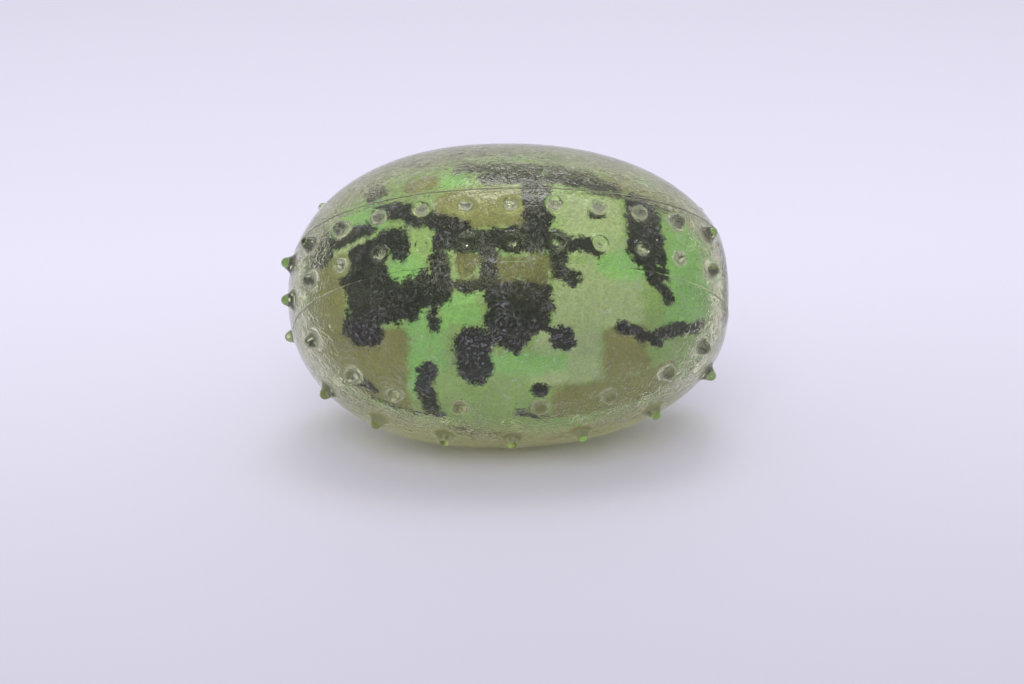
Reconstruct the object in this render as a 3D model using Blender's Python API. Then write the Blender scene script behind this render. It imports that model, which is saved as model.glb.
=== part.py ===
"""Squeeze ball: an egg of clear elastomer skin, set with soft nubs, over a printed film and a gel core.

Metres. +Z is up and the ball lies on its side on z = 0, as it rests on a table. Its long axis is X, with the
round end at -X and the flat end, where the gel goes in, at +X. The skin is welded from three mouldings: a
band that runs lengthwise all the way round, and a shell on each side of it. A "heading" is the angle of a
direction across the long axis: 0 points forward along -Y, and 90 points up.
"""

import math

import bmesh
import bpy
import numpy as np
from mathutils import Matrix, Vector

# The egg's outline, over the skin
ROUND_HALF = 0.0342  # middle to the round end
FLAT_HALF = 0.0366  # middle to the flat end
RADIUS = 0.0248
OUTLINE_POWER = 2.2  # 2 would be an ellipse
FLAT_RADIUS = 0.0073
CONTACT_DEPTH = 0.0008

# The layers, from the skin inwards
SKIN_WALL = 0.0028
FILM_WALL = 0.0005
GAP = 0.0003  # between pieces that touch

# How the skin and the film are divided
BAND_HEADING = 45.5  # the band's middle at the front; it comes round again at the back
BAND_WIDTH = 0.0128
FILM_SEAM_HEADING = -41.0

# Nubs
NUB_BASE_RADIUS = 0.00145
NUB_SHOULDER_RADIUS = 0.00095
NUB_TIP_RADIUS = 0.00045
NUB_SHOULDER_HEIGHT = 0.0014
NUB_HEIGHT = 0.0021
NUB_ROOT = 0.0007  # how far a nub's cone runs down into the wall
BAND_ROW_OFFSET = 0.0032  # each row from the band's middle
BAND_STATIONS = [0.0008 + 0.00685 * step for step in range(-6, 6)]  # along the outline from the middle
SHELL_ROWS = (
    # a row's distance from the shell's middle, and its nubs' places along the outline
    (0.0077, (-0.0330, -0.0248, -0.0177, -0.0074, 0.0050, 0.0159, 0.0259, 0.0330)),
    (-0.0008, (-0.0299, -0.0205, -0.0096, 0.0009, 0.0119, 0.0241, 0.0353)),
)

# The plug in the flat end: a tapered disc, a neck through the film and a barb in the gel
PLUG_RADIUS = 0.0047
PLUG_INNER_RADIUS = 0.0041
NECK_RADIUS = 0.0022
NECK_LENGTH = 0.0014
BARB_RADIUS = 0.0029
BARB_LENGTH = 0.0015

# How finely the round shapes are divided
SIDES = 28
RINGS_EACH_HALF = 9
NUB_SIDES = 8
PLUG_SIDES = 24
OUTLINE_STEPS = 2000

FILM_INSET = SKIN_WALL + GAP
FILM_CAVITY_INSET = FILM_INSET + FILM_WALL
CORE_INSET = FILM_CAVITY_INSET + GAP
FLAT_FRACTION = (1 - (FLAT_RADIUS / RADIUS) ** OUTLINE_POWER) ** (1 / OUTLINE_POWER)
FLAT_AXIS = FLAT_HALF / FLAT_FRACTION  # where the outline would come to a point beyond the flat end
CUTTER_SIZE = 4 * RADIUS


def outline_radius(x, inset=0.0):
    """The egg's radius at x from its middle, for the skin or for a layer set in from it."""
    half = (ROUND_HALF if x < 0 else FLAT_AXIS) - inset
    share = min(abs(x) / half, 1.0)
    return (RADIUS - inset) * (1 - share**OUTLINE_POWER) ** (1 / OUTLINE_POWER)


def outline(inset):
    """A layer's outline as (x, radius) points, from its round end to the rim of its flat end."""
    points = [(inset - ROUND_HALF, 0.0)]
    for ring in range(1, RINGS_EACH_HALF):
        x = (inset - ROUND_HALF) * math.cos(math.radians(90) * ring / RINGS_EACH_HALF)
        points.append((x, outline_radius(x, inset)))
    flat_turn = math.asin((FLAT_HALF - inset) / (FLAT_AXIS - inset))
    for ring in range(RINGS_EACH_HALF + 1):
        x = (FLAT_AXIS - inset) * math.sin(flat_turn * ring / RINGS_EACH_HALF)
        points.append((x, outline_radius(x, inset)))
    return points


def x_at_station(station):
    """Where a distance along the outline from the egg's middle comes on the long axis."""
    xs = np.linspace(-ROUND_HALF, FLAT_HALF, OUTLINE_STEPS)
    radii = np.array([outline_radius(x) for x in xs])
    lengths = np.concatenate(([0.0], np.cumsum(np.hypot(np.diff(xs), np.diff(radii)))))
    return float(np.interp(station, lengths - np.interp(0.0, xs, lengths), xs))


def way_out(x, radius, heading):
    """The direction square to the skin at a point of its outline."""
    half = ROUND_HALF if x < 0 else FLAT_AXIS
    along = math.copysign(abs(x / half) ** (OUTLINE_POWER - 1), x) / half
    outward = (radius / RADIUS) ** (OUTLINE_POWER - 1) / RADIUS
    return (Vector((along, 0, 0)) + outward * across(heading)).normalized()


def across(heading):
    """The direction of a heading, square to the long axis."""
    turn = math.radians(heading)
    return Vector((0, -math.cos(turn), math.sin(turn)))


def nub_seats(middle_heading, rows):
    """Each nub's place on the skin and its direction, for rows at fixed distances from a middle plane."""
    seats = []
    for offset, stations in rows:
        for station in stations:
            x = x_at_station(station)
            radius = outline_radius(x)
            heading = middle_heading + math.degrees(math.asin(offset / radius))
            place = Vector((x, 0, 0)) + radius * across(heading)
            seats.append((place, way_out(x, radius, heading)))
    return seats


def mesh_object(name, bm):
    """An object of a bmesh, with its faces pointing out and its round faces shaded smooth."""
    bmesh.ops.recalc_face_normals(bm, faces=bm.faces)
    mesh = bpy.data.meshes.new(name)
    bm.to_mesh(mesh)
    bm.free()
    mesh.shade_smooth()
    mesh.set_sharp_from_angle(angle=math.radians(35))
    part = bpy.data.objects.new(name, mesh)
    bpy.context.collection.objects.link(part)
    return part


def turned(name, profile, sides):
    """A solid turned about the long axis from (x, radius) points that start and end it."""
    bm = bmesh.new()
    rings = []
    for x, radius in profile:
        count = sides if radius > 0 else 1
        turns = [360 * (side + 0.5) / sides - 90 for side in range(count)]
        rings.append([bm.verts.new(Vector((x, 0, 0)) + radius * across(turn)) for turn in turns])
    for ring, following in zip(rings, rings[1:]):
        for side in range(sides):
            corners = [ring[side % len(ring)], ring[(side + 1) % len(ring)]]
            corners += [following[(side + 1) % len(following)], following[side % len(following)]]
            bm.faces.new(dict.fromkeys(corners))
    for ring in (rings[0], rings[-1]):
        if len(ring) > 1:
            bm.faces.new(ring)
    return mesh_object(name, bm)


def egg(name, inset):
    """The solid inside one layer of the ball."""
    return turned(name, outline(inset), SIDES)


def nubs(name, seats):
    """All the nubs of one moulding, as cones with a shoulder and a blunt tip."""
    slope = (NUB_BASE_RADIUS - NUB_SHOULDER_RADIUS) / NUB_SHOULDER_HEIGHT
    sections = (
        (NUB_BASE_RADIUS + slope * NUB_ROOT, -NUB_ROOT),
        (NUB_SHOULDER_RADIUS, NUB_SHOULDER_HEIGHT),
        (NUB_TIP_RADIUS, NUB_HEIGHT),
    )
    bm = bmesh.new()
    for place, direction in seats:
        turn = Vector((0, 0, 1)).rotation_difference(direction).to_matrix().to_4x4()
        stand = Matrix.Translation(place) @ turn
        rings = []
        for radius, height in sections:
            ring = bmesh.ops.create_circle(bm, segments=NUB_SIDES, radius=radius)["verts"]
            bmesh.ops.transform(bm, matrix=stand @ Matrix.Translation((0, 0, height)), verts=ring)
            rings.append(ring)
        for ring, following in zip(rings, rings[1:]):
            for side in range(NUB_SIDES):
                beside = (side + 1) % NUB_SIDES
                bm.faces.new((ring[side], ring[beside], following[beside], following[side]))
        bm.faces.new(rings[0])
        bm.faces.new(rings[-1])
    return mesh_object(name, bm)


def block(name, low, high, heading):
    """A block that spans from low to high along a heading, and past the ball in the other directions."""
    bm = bmesh.new()
    bmesh.ops.create_cube(bm, size=1.0)
    size = Matrix.Diagonal((CUTTER_SIZE, CUTTER_SIZE, high - low, 1))
    turn = Vector((0, 0, 1)).rotation_difference(across(heading)).to_matrix().to_4x4()
    middle = Matrix.Translation(across(heading) * (low + high) / 2)
    bmesh.ops.transform(bm, matrix=middle @ turn @ size, verts=bm.verts)
    return as_cutter(mesh_object(name, bm))


def as_cutter(part):
    """Marks an object as one that only shapes others."""
    part.hide_render = True
    part.display_type = "WIRE"
    return part


def shaped(part, operation, other):
    """Adds one Boolean step to a part."""
    step = part.modifiers.new(f"{operation.lower()}_{other.name}", "BOOLEAN")
    step.operation = operation
    step.solver = "EXACT"
    step.object = other
    return part


def finish(part, colour, roughness):
    """Gives a part its own plain material."""
    material = bpy.data.materials.new(part.name)
    material.use_nodes = True
    shader = material.node_tree.nodes["Principled BSDF"]
    shader.inputs["Base Color"].default_value = (*colour, 1.0)
    shader.inputs["Roughness"].default_value = roughness
    shader.inputs["Metallic"].default_value = 0.0
    part.data.materials.append(material)
    return part


def plug_profile(margin):
    """The plug's disc as a turned profile, tapering inward and grown all round by a margin."""
    inner_end = (FLAT_HALF - SKIN_WALL - margin, PLUG_INNER_RADIUS + margin)
    outer_end = (FLAT_HALF + margin, PLUG_RADIUS + margin)
    return [inner_end, outer_end]


def skin(name, seats, cavity, side, extra_cut=None):
    """One moulding of the skin: the egg's wall and its nubs, kept on one side of a block."""
    part = egg(name, 0.0)
    shaped(part, "UNION", as_cutter(nubs(f"{name}_nubs", seats)))
    shaped(part, "DIFFERENCE", cavity)
    shaped(part, "INTERSECT", side)
    if extra_cut:
        shaped(part, "DIFFERENCE", extra_cut)
    return finish(part, colour=(0.55, 0.62, 0.42), roughness=0.35)


def skin_band(cavity):
    """The lengthwise band, with two rows of nubs on its front and the same two on its back."""
    rows = ((BAND_ROW_OFFSET, BAND_STATIONS), (-BAND_ROW_OFFSET, BAND_STATIONS))
    seats = nub_seats(BAND_HEADING, rows) + nub_seats(BAND_HEADING + 180, rows)
    half = (BAND_WIDTH - GAP) / 2
    side = block("band_side", -half, half, BAND_HEADING + 90)
    seat = as_cutter(turned("plug_seat", plug_profile(GAP), PLUG_SIDES))
    return skin("skin_band", seats, cavity, side, seat)


def skin_shell(name, middle_heading, cavity, extra_cut=None):
    """A shell beside the band, with its own two rows of nubs."""
    seats = nub_seats(middle_heading, SHELL_ROWS)
    side = block(f"{name}_side", (BAND_WIDTH + GAP) / 2, CUTTER_SIZE, middle_heading)
    return skin(name, seats, cavity, side, extra_cut)


def print_film(name, middle_heading, cavity):
    """Half of the printed film, which follows the inside of the skin, with a hole for the plug's neck."""
    part = egg(name, FILM_INSET)
    shaped(part, "DIFFERENCE", cavity)
    shaped(part, "INTERSECT", block(f"{name}_side", GAP / 2, CUTTER_SIZE, middle_heading))
    neck = [(0.0, NECK_RADIUS + GAP), (FLAT_HALF, NECK_RADIUS + GAP)]
    shaped(part, "DIFFERENCE", as_cutter(turned(f"{name}_neck_hole", neck, PLUG_SIDES)))
    return finish(part, colour=(0.10, 0.16, 0.07), roughness=0.6)


def gel_core():
    """The gel that fills the film, with the hollow that the plug's barb sits in."""
    part = egg("gel_core", CORE_INSET)
    hollow_end = FLAT_HALF - SKIN_WALL - NECK_LENGTH - BARB_LENGTH - GAP
    hollow = [(hollow_end, BARB_RADIUS + GAP), (FLAT_HALF, BARB_RADIUS + GAP)]
    shaped(part, "DIFFERENCE", as_cutter(turned("barb_hollow", hollow, PLUG_SIDES)))
    return finish(part, colour=(0.60, 0.60, 0.45), roughness=0.4)


def fill_plug():
    """The plug that closes the skin after the gel is poured, flush with the flat end."""
    disc = plug_profile(0.0)
    neck_start = disc[0][0] - NECK_LENGTH
    barb_start = neck_start - BARB_LENGTH
    barb = [(barb_start, NECK_RADIUS), (neck_start, BARB_RADIUS)]
    neck = [(neck_start, NECK_RADIUS), (disc[0][0], NECK_RADIUS)]
    part = turned("fill_plug", barb + neck + disc, PLUG_SIDES)
    return finish(part, colour=(0.60, 0.64, 0.48), roughness=0.35)


def table_block(axis_height):
    """Everything under the table that the ball lies on, seen from the ball's axis."""
    return block("table", -CUTTER_SIZE, -axis_height, 90)


def place_on_table(parts, axis_height):
    """Hangs every object on one empty at the egg's middle, so that the ball lies on z = 0, centred in X."""
    tips = [corner.co.x for part in parts if part.name.endswith("_nubs") for corner in part.data.vertices]
    middle_x = (-min(tips) - FLAT_HALF) / 2
    axis = bpy.data.objects.new("ball_middle", None)
    axis.location = (middle_x, 0, axis_height)
    bpy.context.collection.objects.link(axis)
    for part in parts:
        part.parent = axis


def main():
    """Builds the ball."""
    for old in list(bpy.data.objects):
        bpy.data.objects.remove(old)
    axis_height = RADIUS - CONTACT_DEPTH
    cavity = as_cutter(egg("skin_cavity", SKIN_WALL))
    film_cavity = as_cutter(egg("film_cavity", FILM_CAVITY_INSET))
    skin_band(cavity)
    skin_shell("skin_shell_front", BAND_HEADING - 90, cavity, table_block(axis_height))
    skin_shell("skin_shell_back", BAND_HEADING + 90, cavity)
    print_film("print_film_front", FILM_SEAM_HEADING + 90, film_cavity)
    print_film("print_film_back", FILM_SEAM_HEADING - 90, film_cavity)
    gel_core()
    fill_plug()
    place_on_table(list(bpy.data.objects), axis_height)


main()
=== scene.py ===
import math

import bpy
import numpy as np
from bpy.props import FloatProperty, FloatVectorProperty, IntProperty, PointerProperty
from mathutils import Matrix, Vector


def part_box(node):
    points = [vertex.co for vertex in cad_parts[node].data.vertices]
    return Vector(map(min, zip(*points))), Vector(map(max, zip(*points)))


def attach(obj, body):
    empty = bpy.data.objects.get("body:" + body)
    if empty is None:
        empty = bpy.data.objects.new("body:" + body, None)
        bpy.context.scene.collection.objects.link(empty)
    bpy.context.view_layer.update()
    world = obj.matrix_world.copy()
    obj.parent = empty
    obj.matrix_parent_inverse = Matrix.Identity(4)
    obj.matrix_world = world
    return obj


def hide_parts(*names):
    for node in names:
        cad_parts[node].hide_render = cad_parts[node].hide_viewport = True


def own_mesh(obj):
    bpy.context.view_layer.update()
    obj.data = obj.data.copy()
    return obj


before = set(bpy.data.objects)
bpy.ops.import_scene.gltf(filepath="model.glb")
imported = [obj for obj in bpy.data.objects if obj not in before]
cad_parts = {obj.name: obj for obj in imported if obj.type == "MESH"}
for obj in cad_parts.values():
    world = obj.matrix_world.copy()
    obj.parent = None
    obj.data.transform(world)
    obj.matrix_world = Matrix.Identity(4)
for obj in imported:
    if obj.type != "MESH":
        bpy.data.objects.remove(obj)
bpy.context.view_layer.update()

bl_info = {
    "name": "Squeeze Ball",
    "version": (1, 0, 0),
    "blender": (4, 5, 0),
    "location": "3D View > Sidebar > Squeeze Ball",
    "description": "Builds the looks of a clear nubbed squeeze ball round its packed frame",
    "category": "Object",
}

# Where the frame puts the ball
CORE_LOW, CORE_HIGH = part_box("gel_core")
PLUG_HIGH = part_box("fill_plug")[1]
AXIS_HEIGHT = (CORE_LOW.z + CORE_HIGH.z) / 2
FLAT_END = PLUG_HIGH.x
MM = 0.001
BODY = "ball"

# The camouflage print in the film's own coordinates: millimetres along the ball from its middle, and
# degrees of heading, 0 at the front and 90 at the top. A stroke is its half-width and its bends.
BLACK_STROKES = (
    (1.9, ((-17.5, 64), (-14, 56), (-9, 49), (-6.5, 44))),
    (2.2, ((5, 66), (5, 50), (4.8, 44))),
    (1.7, ((-2.5, 73), (7, 72.5), (17, 72))),
    (1.6, ((-6, 81), (3, 80), (12, 78))),
    (2.0, ((-9.5, 41), (7, 41))),
    (1.9, ((-9.9, 34), (-10, 20))),
    (0.9, ((-9, 23.5), (-4, 22.5))),
    (1.6, ((-2.7, 36), (-2.6, 24))),
    (1.6, ((7.8, 35), (8.2, 29), (9.2, 26))),
    (2.4, ((-1.2, 20), (4.0, 20), (4.2, 9), (1.0, 4), (-1.0, 4), (-1.2, 20))),
    (2.2, ((1.5, 18), (1.2, 2))),
    (2.7, ((-5.5, 0), (-5, -12))),
    (2.1, ((8.3, 1.5),)),
    (0.7, ((8, 2), (5, 6))),
    (3.0, ((-22, 30), (-17, 18), (-11, 22))),
    (2.9, ((-21, 40), (-21, 10), (-21.5, 0))),
    (1.7, ((-20, 9), (-15, 12))),
    (0.9, ((-11.3, 14), (-11.2, 5))),
    (1.8, ((-27, 60), (-24, 55), (-21, 56))),
    (1.8, ((-28, 70), (-28, 47))),
    (1.8, ((-19.5, 45), (-16.5, 47), (-16, 39))),
    (2.8, ((21, 66), (21.5, 50), (22, 38))),
    (2.2, ((23, 28),)),
    (0.7, ((23.5, 24), (25, 14))),
    (0.8, ((14, 67), (26, 69))),
    (1.1, ((14, 54),)),
    (1.2, ((9, 40), (14, 38))),
    (1.1, ((17.5, 4), (21, -1), (23, -7))),
    (1.5, ((23, -3), (27, -2), (30, -6))),
    (1.5, ((-12, -13), (-13, -22), (-11.5, -34), (-10.5, -42))),
    (1.4, ((5.2, -23.5),)),
    (1.2, ((3, -36), (5.5, -37))),
    (1.4, ((-21, -31),)),
    (0.7, ((-20, -40), (-11, -41))),
    (1.5, ((-19.5, 84), (-19, 75))),
    (2.4, ((-12, 94), (-6, 99), (2, 97))),
    (2.2, ((9, 112), (15, 104), (22, 108))),
    (3.0, ((-22, 112), (-16, 121), (-9, 118))),
    (2.0, ((0, 125), (7, 129))),
    (1.6, ((26, 92), (29, 99))),
)
# A block is its ends along the ball and its lowest and highest heading.
OLIVE_BLOCKS = (
    (-11, 3.5, 46, 67),
    (-15, -10, 68, 79),
    (-30, -24, -42, 45),
    (-26, -14.8, -40, 4),
    (14.5, 22, -22, 4),
    (6.5, 26, -45, -21),
    (16, 29, 69, 84),
    (-6, 8, 101, 119),
    (14, 27, 113, 134),
    (-28, -17, 88, 104),
)
SQUARE_BLOCKS = ((-8, -4.3, 26, 36), (-1.3, 6.5, 24, 34))
BRIGHT_BLOCKS = (
    (-24, -18, 54, 76),
    (-10, -5.5, 67, 79),
    (-18, -12.8, 22, 38),
    (24.5, 33, -3, 64),
    (14, 24.5, 25, 37),
    (-15.5, -11.5, -26, 15),
    (-12, -9.5, -14, 8),
    (-10, -4, 7, 20),
    (-4, 9, -14, -5),
    (-2, 8, 86, 95),
    (20, 31, 84, 104),
    (-14, -4, 124, 138),
)
PALE_BLOCKS = (
    (8, 18, 34, 65),
    (7.0, 21, 4, 32),
    (4, 14.4, -20, 8),
    (-27, -20.5, 40, 52),
    (10, 20, 86, 99),
    (-31, -24, 108, 136),
    (9, 15, 120, 138),
)
# Folds in the film, in the same coordinates: half-width and height in millimetres, and its bends
FILM_FOLDS = (
    (0.35, 0.20, ((6, 17.5), (0, 17), (-6, 16), (-13, 13), (-21, 9))),
    (0.30, 0.14, ((2, 73), (8, 73.5), (14, 73))),
    (0.45, 0.12, ((12, -3), (14.5, -8), (14.2, -18), (9, -21))),
)
SHARP_DEGREES = 60  # an edge that turns more than this isn't smoothed over
MM_PER_DEGREE = 0.39  # of heading, on the film near the ball's middle
FAR_AWAY = 99.0  # millimetres, past every print
TINY = 1e-9  # stands in for nothing under a division
PLUG_TAPER = 0.6 * MM  # of the plug's disc and its hole, across the skin's wall


class BallSizes(bpy.types.PropertyGroup):
    """Sizes of the ball's layers. The frame has to be built with the same ones."""

    round_half: FloatProperty(
        name="Round half", description="Middle to the round end", default=0.0342, unit="LENGTH"
    )
    flat_half: FloatProperty(
        name="Flat half", description="Middle to the flat end", default=0.0366, unit="LENGTH"
    )
    skin_wall: FloatProperty(
        name="Skin wall", description="Thickness of the clear skin", default=0.0028, unit="LENGTH"
    )
    film_wall: FloatProperty(
        name="Film wall", description="Thickness of the printed film", default=0.0005, unit="LENGTH"
    )
    gap: FloatProperty(
        name="Gap", description="Air between two layers", default=0.0003, unit="LENGTH"
    )
    flat_radius: FloatProperty(
        name="Flat radius", description="Radius of the flat end", default=0.0073, unit="LENGTH"
    )
    outline_power: FloatProperty(
        name="Outline power", description="2 is an ellipse, more is fuller", default=2.2, min=1.0
    )
    band_heading: FloatProperty(
        name="Band heading",
        description="How far up from the front the band's middle lies",
        default=math.radians(45.5),
        subtype="ANGLE",
        unit="ROTATION",
    )
    band_width: FloatProperty(
        name="Band width", description="Across the band", default=0.0128, unit="LENGTH"
    )
    film_seam: FloatProperty(
        name="Film seam",
        description="Heading where the film's halves meet",
        default=math.radians(-41.0),
        subtype="ANGLE",
        unit="ROTATION",
    )


class NubSizes(bpy.types.PropertyGroup):
    """Sizes of the nubs and of the weld beside the band."""

    height: FloatProperty(
        name="Height", description="Skin to the nub's tip", default=0.0019, unit="LENGTH"
    )
    tip_radius: FloatProperty(
        name="Tip radius", description="Roundness of the tip", default=0.00085, unit="LENGTH"
    )
    lean: FloatProperty(
        name="Lean",
        description="How far the side leans inward",
        default=math.radians(25.0),
        subtype="ANGLE",
        unit="ROTATION",
    )
    fillet: FloatProperty(
        name="Fillet", description="Length of the hollow at the foot", default=0.00045, unit="LENGTH"
    )
    reach: FloatProperty(
        name="Reach", description="Skin drawn up round each nub", default=0.0030, unit="LENGTH"
    )
    weld_edge: FloatProperty(
        name="Weld edge", description="Rounding of an edge at the weld", default=0.00016, unit="LENGTH"
    )
    weld_bead: FloatProperty(
        name="Weld bead", description="Rise of the skin at the weld", default=0.00007, unit="LENGTH"
    )
    weld_wander: FloatProperty(
        name="Weld wander", description="How far the weld strays", default=0.00009, unit="LENGTH"
    )
    weld_overlap: FloatProperty(
        name="Weld overlap",
        description="How far two mouldings run into each other",
        default=0.00002,
        unit="LENGTH",
    )


class Colours(bpy.types.PropertyGroup):
    """Colours of the print, the skin and the stage."""

    black: FloatVectorProperty(
        name="Black", description="Darkest print", subtype="COLOR", default=(0.005, 0.005, 0.016)
    )
    olive: FloatVectorProperty(
        name="Olive", description="Olive print", subtype="COLOR", default=(0.345, 0.350, 0.250)
    )
    square: FloatVectorProperty(
        name="Dark olive", description="Small blocks", subtype="COLOR", default=(0.200, 0.200, 0.100)
    )
    bright: FloatVectorProperty(
        name="Bright green", description="Light green print", subtype="COLOR", default=(0.380, 0.740, 0.470)
    )
    pale: FloatVectorProperty(
        name="Pale green", description="Grey-green print", subtype="COLOR", default=(0.540, 0.680, 0.700)
    )
    middle: FloatVectorProperty(
        name="Middle green",
        description="Ground of the print",
        subtype="COLOR",
        default=(0.400, 0.590, 0.420),
    )
    skin: FloatVectorProperty(
        name="Skin", description="Tint of the clear skin", subtype="COLOR", default=(0.87, 0.88, 0.58)
    )
    floor: FloatVectorProperty(
        name="Floor", description="Table and backdrop", subtype="COLOR", default=(0.85, 0.82, 0.96)
    )


class StageSizes(bpy.types.PropertyGroup):
    """Where the camera stands, and how fine the skin is."""

    distance: FloatProperty(
        name="Distance", description="Ball's middle to the camera", default=0.380, unit="LENGTH"
    )
    elevation: FloatProperty(
        name="Elevation",
        description="Camera above the level",
        default=math.radians(18.3),
        subtype="ANGLE",
        unit="ROTATION",
    )
    turn: FloatProperty(
        name="Turn",
        description="Camera towards the round end",
        default=math.radians(3.0),
        subtype="ANGLE",
        unit="ROTATION",
    )
    lens: FloatProperty(name="Lens", description="Focal length in mm", default=82.5)
    aim_right: FloatProperty(
        name="Aim right", description="Aim beside the middle", default=0.0019, unit="LENGTH"
    )
    aim_down: FloatProperty(
        name="Aim down", description="Aim below the middle", default=0.0074, unit="LENGTH"
    )
    fineness: IntProperty(
        name="Fineness", description="Points round the skin's mouldings", default=600, min=60
    )


class Egg:
    """The ball's outline. Across the axis it is round. Along it, an oval of power p, (x/half)^p +
    (r/radius)^p = 1, is cut off at the flat end, and a high power rounds the corner of that cut."""

    CORNER_POWER = 60
    RAYS = 6000
    LOOP_RAYS = 12001
    HALVINGS = 40
    FOOT_STEPS = 12

    def __init__(self, sizes):
        self.power = sizes.outline_power
        self.round_half = sizes.round_half
        self.flat_half = sizes.flat_half
        self.inset_core = sizes.skin_wall + sizes.film_wall + 2 * sizes.gap
        self.radius = (CORE_HIGH.y - CORE_LOW.y) / 2 + self.inset_core
        fraction = (1 - (sizes.flat_radius / self.radius) ** self.power) ** (1 / self.power)
        self.flat_axis = self.flat_half / fraction
        self.middle = np.array((FLAT_END - self.flat_half, 0.0, AXIS_HEIGHT))
        heading = sizes.band_heading
        self.band_way = np.array((0.0, -math.cos(heading), math.sin(heading)))
        self.side_way = np.array((0.0, math.sin(heading), math.cos(heading)))

    def gauge(self, x, r, inset):
        """1 on the outline sunk by inset, less inside and more outside, and it grows in step with
        the distance from the middle: the oval's value and the flat's, x / flat_half, blended."""
        half = np.where(x < 0, self.round_half, self.flat_axis) - inset
        across = r / (self.radius - inset)
        oval = ((np.abs(x) / half) ** self.power + across**self.power) ** (1 / self.power)
        flat = np.maximum(x, 0) / (self.flat_half - inset)
        return (oval**self.CORNER_POWER + flat**self.CORNER_POWER) ** (1 / self.CORNER_POWER)

    def outline(self, count, inset, start=0.0, end=0.0):
        """count points (x, r) evenly along the outline, from radius start at the round end to radius
        end at the flat one: rays from the middle divided by the gauge, then spaced by length."""
        turn = np.linspace(math.pi, 0, self.RAYS)
        x, r = np.cos(turn), np.abs(np.sin(turn))
        size = self.gauge(x, r, inset)
        x, r = x / size, r / size
        kept = (r >= np.where(x < 0, start, end)) | (np.abs(x) < self.radius / 2)
        x, r = x[kept], r[kept]
        length = np.concatenate(([0], np.cumsum(np.hypot(np.diff(x), np.diff(r)))))
        even = np.linspace(0, length[-1], count)
        return np.interp(even, length, x), np.interp(even, length, r)

    def loop_turns(self, count):
        """Directions round the band's middle plane that step evenly along the outline there."""
        turn = np.linspace(0, 2 * math.pi, self.LOOP_RAYS)
        size = self.gauge(np.cos(turn), np.abs(np.sin(turn)), 0.0)
        x, v = np.cos(turn) / size, np.sin(turn) / size
        length = np.concatenate(([0], np.cumsum(np.hypot(np.diff(x), np.diff(v)))))
        return np.interp(np.arange(count) / count * length[-1], length, turn)

    def cut(self, turn, offset, inset):
        """Points where the outline, sunk by inset, is cut at a distance offset from the band's middle
        plane, in each direction turn: the distance t along x = t cos, v = t sin is halved down on."""
        turn, offset, inset = np.broadcast_arrays(turn, offset, inset)
        near, far = np.zeros(turn.shape), np.full(turn.shape, 2 * self.round_half)
        for _ in range(self.HALVINGS):
            t = (near + far) / 2
            outside = self.gauge(t * np.cos(turn), np.hypot(t * np.sin(turn), offset), inset) > 1
            near, far = np.where(outside, near, t), np.where(outside, t, far)
        x, v = near * np.cos(turn), near * np.sin(turn)
        along = np.array((1.0, 0.0, 0.0))
        across = v[..., None] * self.band_way + offset[..., None] * self.side_way
        return self.middle + x[..., None] * along + across

    def way_out(self, point):
        """The outline's normal at a point: the gauge's slope along and across the axis."""
        local = point - self.middle
        r = math.hypot(local[1], local[2])
        step = 0.01 * MM
        along = self.gauge(local[0] + step, r, 0.0) - self.gauge(local[0] - step, r, 0.0)
        across = self.gauge(local[0], r + step, 0.0) - self.gauge(local[0], abs(r - step), 0.0)
        way = np.array((along, across * local[1] / r, across * local[2] / r))
        return way / np.linalg.norm(way)

    def foot(self, tip):
        """The point of the outline below a nub's tip, and the way the nub points."""
        foot = tip
        for _ in range(self.FOOT_STEPS):
            local = foot - self.middle
            size = float(self.gauge(local[0], math.hypot(local[1], local[2]), 0.0))
            on = self.middle + local / size
            way = self.way_out(on)
            foot = tip - way * np.dot(tip - on, way)
        return on, way


def egg_of(context):
    return Egg(context.scene.ball_sizes)


# How the skin's mouldings are worked
TIP_SHARE = 0.85  # of the highest rise: points above it belong to a nub's tip
TIP_SPREAD = 2.5 * MM
NUB_BLEND = 0.3 * MM  # a nub's smoother finish starts within this height
PRESSED_ZONE = 3 * MM
CONTACT_SOFTNESS = 0.15 * MM
WELD_FADE = 0.8 * MM
WELD_FACING = 0.95  # of a face's normal along the way across the band
WELD_FACE = 0.4 * MM * MM


def place_piece(name, mesh):
    """Puts a finished mesh in the scene, smooth-shaded but for its sharp edges."""
    mesh.validate()
    mesh.polygons.foreach_set("use_smooth", np.full(len(mesh.polygons), True))
    mesh.set_sharp_from_angle(angle=math.radians(SHARP_DEGREES))
    piece = bpy.data.objects.new(name, mesh)
    bpy.context.scene.collection.objects.link(piece)
    return piece


def mesh_from(name, points, faces):
    """A mesh from an array of points and a list of faces, turned so that its faces point outwards:
    the sign of the volume, summed over a fan of triangles from each face, says which way they are."""
    mesh = bpy.data.meshes.new(name)
    mesh.from_pydata(points.tolist(), [], faces)
    corners = np.array([face[:3] for face in faces])
    first, second, third = (points - points.mean(0))[corners.T]
    volume = np.einsum("ij,ij->", first, np.cross(second, third))
    if volume < 0:
        mesh.flip_normals()
    mesh.update()
    return mesh


def solid_of_rings(name, rings):
    """A closed solid from rings of points, each ring closed, the first and last shrunk to a point.
    rings has the shape (rings, points round, 3)."""
    count, around = rings.shape[:2]
    body = rings[1:-1].reshape(-1, 3)
    points = np.concatenate((body, rings[:1, 0], rings[-1:, 0]))
    step = np.arange(around)
    after = (step + 1) % around
    base = np.arange(count - 3)[:, None] * around
    ahead = base + around
    quads = np.stack((base + step, base + after, ahead + after, ahead + step), -1).reshape(-1, 4)
    last = (count - 3) * around
    first_pole, last_pole = len(body), len(body) + 1
    fans = [(first_pole, int(b), int(a)) for a, b in zip(step, after)]
    fans += [(last_pole, int(last + a), int(last + b)) for a, b in zip(step, after)]
    return mesh_from(name, points, quads.tolist() + fans)


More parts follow.
